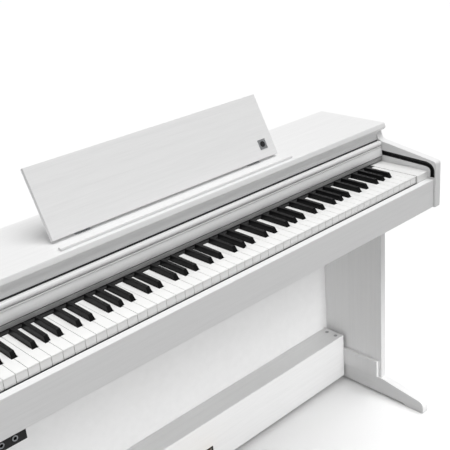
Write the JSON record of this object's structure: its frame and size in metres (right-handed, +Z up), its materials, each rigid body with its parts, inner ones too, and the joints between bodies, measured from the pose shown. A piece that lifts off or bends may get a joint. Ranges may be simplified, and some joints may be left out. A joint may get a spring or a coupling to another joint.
{
  "type": "digital piano on stand",
  "caption": "White console digital piano with full keyboard, sliding key cover, folding music rest, panel legs, low pedal box and pedals.",
  "frame": {"origin": "on the floor, under the middle of the width and of the depth", "axes": "+X to the player's right, +Y away from the player to the back, +Z up"},
  "size_m": [1.36, 0.392, 0.9941],
  "materials": {
    "white_foil_board": "satin",
    "ivory_plastic": "gloss",
    "ebony_plastic": "matte",
    "black_plastic": "matte",
    "grey_plastic": "satin",
    "steel": "brushed",
    "brass": "polished",
    "painted_steel": "satin"
  },
  "bodies": {
    "cabinet": {"lid": "white_foil_board", "fascia_rail": "white_foil_board", "side_arm_right": "white_foil_board", "side_arm_left": "white_foil_board", "guide_track_right": "black_plastic", "guide_track_left": "black_plastic", "cheek_block_right": "white_foil_board", "cheek_block_left": "white_foil_board", "front_rail": "white_foil_board", "keybed": "white_foil_board", "cabinet_back": "white_foil_board", "socket_plate": "black_plastic", "name_rail": "white_foil_board", "headphone_box": "black_plastic", "speaker_right": "black_plastic", "speaker_left": "black_plastic", "sound_module": "painted_steel", "key_frame": "painted_steel", "book_stop": "white_foil_board", "rest_hinge_base_left": "steel", "rest_hinge_base_right": "steel", "leg_panel_right": "white_foil_board", "leg_panel_left": "white_foil_board", "foot_right": "white_foil_board", "foot_left": "white_foil_board", "base_rail_right": "white_foil_board", "base_rail_left": "white_foil_board", "stand_back": "white_foil_board", "pedal_box": "white_foil_board", "pedal_axle": "steel"},
    "key_cover": {"cover_nose": "white_foil_board", "cover_face": "white_foil_board", "cover_panel": "white_foil_board"},
    "music_rest": {"music_rest": "white_foil_board", "rest_hinge_leaf_left": "steel", "rest_hinge_leaf_right": "steel", "stay_rail": "steel"},
    "stay_left": {"rest_stay_left": "steel"},
    "stay_right": {"rest_stay_right": "steel"},
    "power_button": {"power_button": "grey_plastic"},
    "volume_knob": {"volume_knob": "grey_plastic"},
    "pedal_soft": {"pedal_soft": "brass"},
    "pedal_middle": {"pedal_middle": "brass"},
    "pedal_damper": {"pedal_damper": "brass"},
    "white_keys_bass": {"white_keys_bass": "ivory_plastic"},
    "black_keys_bass": {"black_keys_bass": "ebony_plastic"},
    "white_keys_treble": {"white_keys_treble": "ivory_plastic"},
    "black_keys_treble": {"black_keys_treble": "ebony_plastic"},
    "white_key_1": {"white_key_1": "ivory_plastic"},
    "white_key_2": {"white_key_2": "ivory_plastic"},
    "white_key_3": {"white_key_3": "ivory_plastic"},
    "white_key_4": {"white_key_4": "ivory_plastic"},
    "white_key_5": {"white_key_5": "ivory_plastic"},
    "white_key_6": {"white_key_6": "ivory_plastic"},
    "white_key_7": {"white_key_7": "ivory_plastic"},
    "black_key_1": {"black_key_1": "ebony_plastic"},
    "black_key_2": {"black_key_2": "ebony_plastic"},
    "black_key_3": {"black_key_3": "ebony_plastic"},
    "black_key_4": {"black_key_4": "ebony_plastic"},
    "black_key_5": {"black_key_5": "ebony_plastic"}
  },
  "joints": [
    {"name": "cover_slide", "type": "slide", "parent": "cabinet", "child": "key_cover", "axis": [0, -0.9991, -0.042], "range_m": [0, 0.14]},
    {"name": "rest_fold", "type": "hinge", "parent": "cabinet", "child": "music_rest", "pos_m": [0, 0.038, 0.8575], "axis": [1, 0, 0], "range_deg": [-63, 0]},
    {"name": "stay_fold_left", "type": "hinge", "parent": "music_rest", "child": "stay_left", "pos_m": [-0.16, 0.06845, 0.90933], "axis": [1, 0, 0], "range_deg": [0, 124]},
    {"name": "stay_fold_right", "type": "hinge", "parent": "music_rest", "child": "stay_right", "pos_m": [0.16, 0.06845, 0.90933], "axis": [1, 0, 0], "range_deg": [0, 124]},
    {"name": "white_key_1_press", "type": "hinge", "parent": "cabinet", "child": "white_key_1", "pos_m": [0, 0.035, 0.739], "axis": [1, 0, 0], "range_deg": [0, 2.8], "stiffness_Nm_per_rad": 1, "springref_deg": -10.31},
    {"name": "white_key_2_press", "type": "hinge", "parent": "cabinet", "child": "white_key_2", "pos_m": [0, 0.035, 0.739], "axis": [1, 0, 0], "range_deg": [0, 2.8], "stiffness_Nm_per_rad": 1, "springref_deg": -10.31},
    {"name": "white_key_3_press", "type": "hinge", "parent": "cabinet", "child": "white_key_3", "pos_m": [0, 0.035, 0.739], "axis": [1, 0, 0], "range_deg": [0, 2.8], "stiffness_Nm_per_rad": 1, "springref_deg": -10.31},
    {"name": "white_key_4_press", "type": "hinge", "parent": "cabinet", "child": "white_key_4", "pos_m": [0, 0.035, 0.739], "axis": [1, 0, 0], "range_deg": [0, 2.8], "stiffness_Nm_per_rad": 1, "springref_deg": -10.31},
    {"name": "white_key_5_press", "type": "hinge", "parent": "cabinet", "child": "white_key_5", "pos_m": [0, 0.035, 0.739], "axis": [1, 0, 0], "range_deg": [0, 2.8], "stiffness_Nm_per_rad": 1, "springref_deg": -10.31},
    {"name": "white_key_6_press", "type": "hinge", "parent": "cabinet", "child": "white_key_6", "pos_m": [0, 0.035, 0.739], "axis": [1, 0, 0], "range_deg": [0, 2.8], "stiffness_Nm_per_rad": 1, "springref_deg": -10.31},
    {"name": "white_key_7_press", "type": "hinge", "parent": "cabinet", "child": "white_key_7", "pos_m": [0, 0.035, 0.739], "axis": [1, 0, 0], "range_deg": [0, 2.8], "stiffness_Nm_per_rad": 1, "springref_deg": -10.31},
    {"name": "black_key_1_press", "type": "hinge", "parent": "cabinet", "child": "black_key_1", "pos_m": [0, 0.035, 0.739], "axis": [1, 0, 0], "range_deg": [0, 3.4], "stiffness_Nm_per_rad": 0.7, "springref_deg": -9.45},
    {"name": "black_key_2_press", "type": "hinge", "parent": "cabinet", "child": "black_key_2", "pos_m": [0, 0.035, 0.739], "axis": [1, 0, 0], "range_deg": [0, 3.4], "stiffness_Nm_per_rad": 0.7, "springref_deg": -9.45},
    {"name": "black_key_3_press", "type": "hinge", "parent": "cabinet", "child": "black_key_3", "pos_m": [0, 0.035, 0.739], "axis": [1, 0, 0], "range_deg": [0, 3.4], "stiffness_Nm_per_rad": 0.7, "springref_deg": -9.45},
    {"name": "black_key_4_press", "type": "hinge", "parent": "cabinet", "child": "black_key_4", "pos_m": [0, 0.035, 0.739], "axis": [1, 0, 0], "range_deg": [0, 3.4], "stiffness_Nm_per_rad": 0.7, "springref_deg": -9.45},
    {"name": "black_key_5_press", "type": "hinge", "parent": "cabinet", "child": "black_key_5", "pos_m": [0, 0.035, 0.739], "axis": [1, 0, 0], "range_deg": [0, 3.4], "stiffness_Nm_per_rad": 0.7, "springref_deg": -9.45},
    {"name": "white_keys_bass_press", "type": "hinge", "parent": "cabinet", "child": "white_keys_bass", "pos_m": [0, 0.035, 0.739], "axis": [1, 0, 0], "range_deg": [0, 2.8], "stiffness_Nm_per_rad": 23, "springref_deg": -10.31},
    {"name": "white_keys_treble_press", "type": "hinge", "parent": "cabinet", "child": "white_keys_treble", "pos_m": [0, 0.035, 0.739], "axis": [1, 0, 0], "range_deg": [0, 2.8], "stiffness_Nm_per_rad": 22, "springref_deg": -10.31},
    {"name": "black_keys_bass_press", "type": "hinge", "parent": "cabinet", "child": "black_keys_bass", "pos_m": [0, 0.035, 0.739], "axis": [1, 0, 0], "range_deg": [0, 3.4], "stiffness_Nm_per_rad": 11.2, "springref_deg": -9.45},
    {"name": "black_keys_treble_press", "type": "hinge", "parent": "cabinet", "child": "black_keys_treble", "pos_m": [0, 0.035, 0.739], "axis": [1, 0, 0], "range_deg": [0, 3.4], "stiffness_Nm_per_rad": 10.5, "springref_deg": -9.45},
    {"name": "pedal_soft_press", "type": "hinge", "parent": "cabinet", "child": "pedal_soft", "pos_m": [-0.075, 0.168, 0.065], "axis": [1, 0, 0], "range_deg": [0, 5.5], "stiffness_Nm_per_rad": 10, "springref_deg": -7.45},
    {"name": "pedal_middle_press", "type": "hinge", "parent": "cabinet", "child": "pedal_middle", "pos_m": [0, 0.168, 0.065], "axis": [1, 0, 0], "range_deg": [0, 5.5], "stiffness_Nm_per_rad": 10, "springref_deg": -7.45},
    {"name": "pedal_damper_press", "type": "hinge", "parent": "cabinet", "child": "pedal_damper", "pos_m": [0.075, 0.168, 0.065], "axis": [1, 0, 0], "range_deg": [0, 5.5], "stiffness_Nm_per_rad": 10, "springref_deg": -7.45},
    {"name": "power_press", "type": "slide", "parent": "cabinet", "child": "power_button", "axis": [0, 0, -1], "range_m": [0, 0.0015], "stiffness_N_per_m": 800, "springref_m": -0.001},
    {"name": "volume_turn", "type": "hinge", "parent": "cabinet", "child": "volume_knob", "pos_m": [-0.6345, -0.096, 0.757], "axis": [0, 0, -1], "range_deg": [-135, 135]}
  ],
  "couplings": [
    {"joint": "stay_fold_left", "follows": "rest_fold", "ratio": -1.9524},
    {"joint": "stay_fold_right", "follows": "rest_fold", "ratio": -1.9524}
  ]
}
